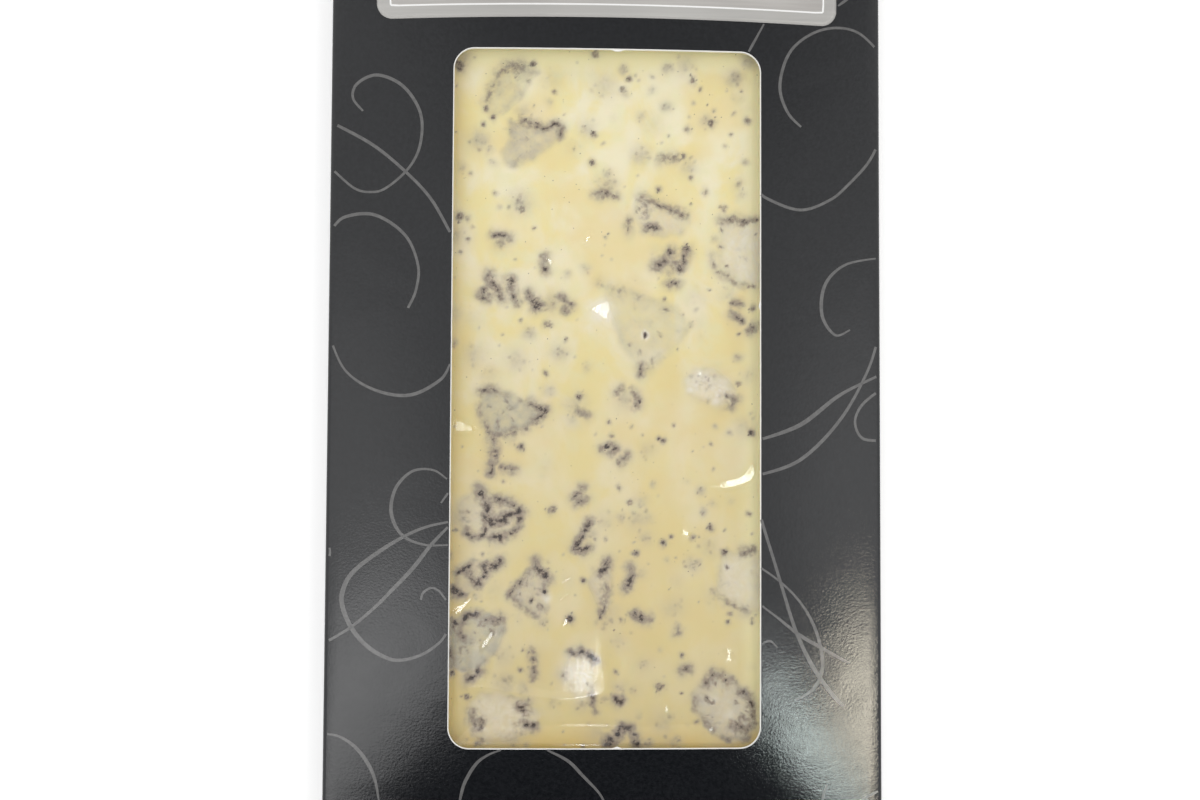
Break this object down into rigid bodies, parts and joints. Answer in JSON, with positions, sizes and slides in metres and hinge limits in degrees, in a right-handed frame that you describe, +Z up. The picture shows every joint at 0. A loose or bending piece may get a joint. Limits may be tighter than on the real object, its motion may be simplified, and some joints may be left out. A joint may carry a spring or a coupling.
{
  "type": "cookies and cream chocolate slab in a windowed carton",
  "caption": "White chocolate slab set with cookie pieces, in a slim black card carton with a rounded clear window and a blank silver label.",
  "frame": {"origin": "on the floor under the middle of the pack, which lies on its back", "axes": "+X across the pack to the right, +Y along it towards its top end, where the label is, +Z up out of its window"},
  "size_m": [0.115, 0.23, 0.0152],
  "materials": {
    "card": "satin gloss laminate over black print, raw white cut edges",
    "film": "thin clear film, lightly creased",
    "label": "silver metallic, faintly brushed",
    "chocolate": "white chocolate, smooth moulded face",
    "cookie": "dark cocoa cookie, thinly veiled with white chocolate"
  },
  "bodies": {
    "root": {"carton": "card", "window_film": "film", "label": "label", "slab": "chocolate", "cookie_piece_01": "cookie", "cookie_piece_02": "cookie", "cookie_piece_03": "cookie", "cookie_piece_04": "cookie", "cookie_piece_05": "cookie", "cookie_piece_06": "cookie", "cookie_piece_07": "cookie", "cookie_piece_08": "cookie", "cookie_piece_09": "cookie", "cookie_piece_10": "cookie", "cookie_piece_11": "cookie", "cookie_piece_12": "cookie", "cookie_piece_13": "cookie", "cookie_piece_14": "cookie", "cookie_piece_15": "cookie", "cookie_piece_16": "cookie", "cookie_piece_17": "cookie", "cookie_piece_18": "cookie"}
  },
  "joints": []
}
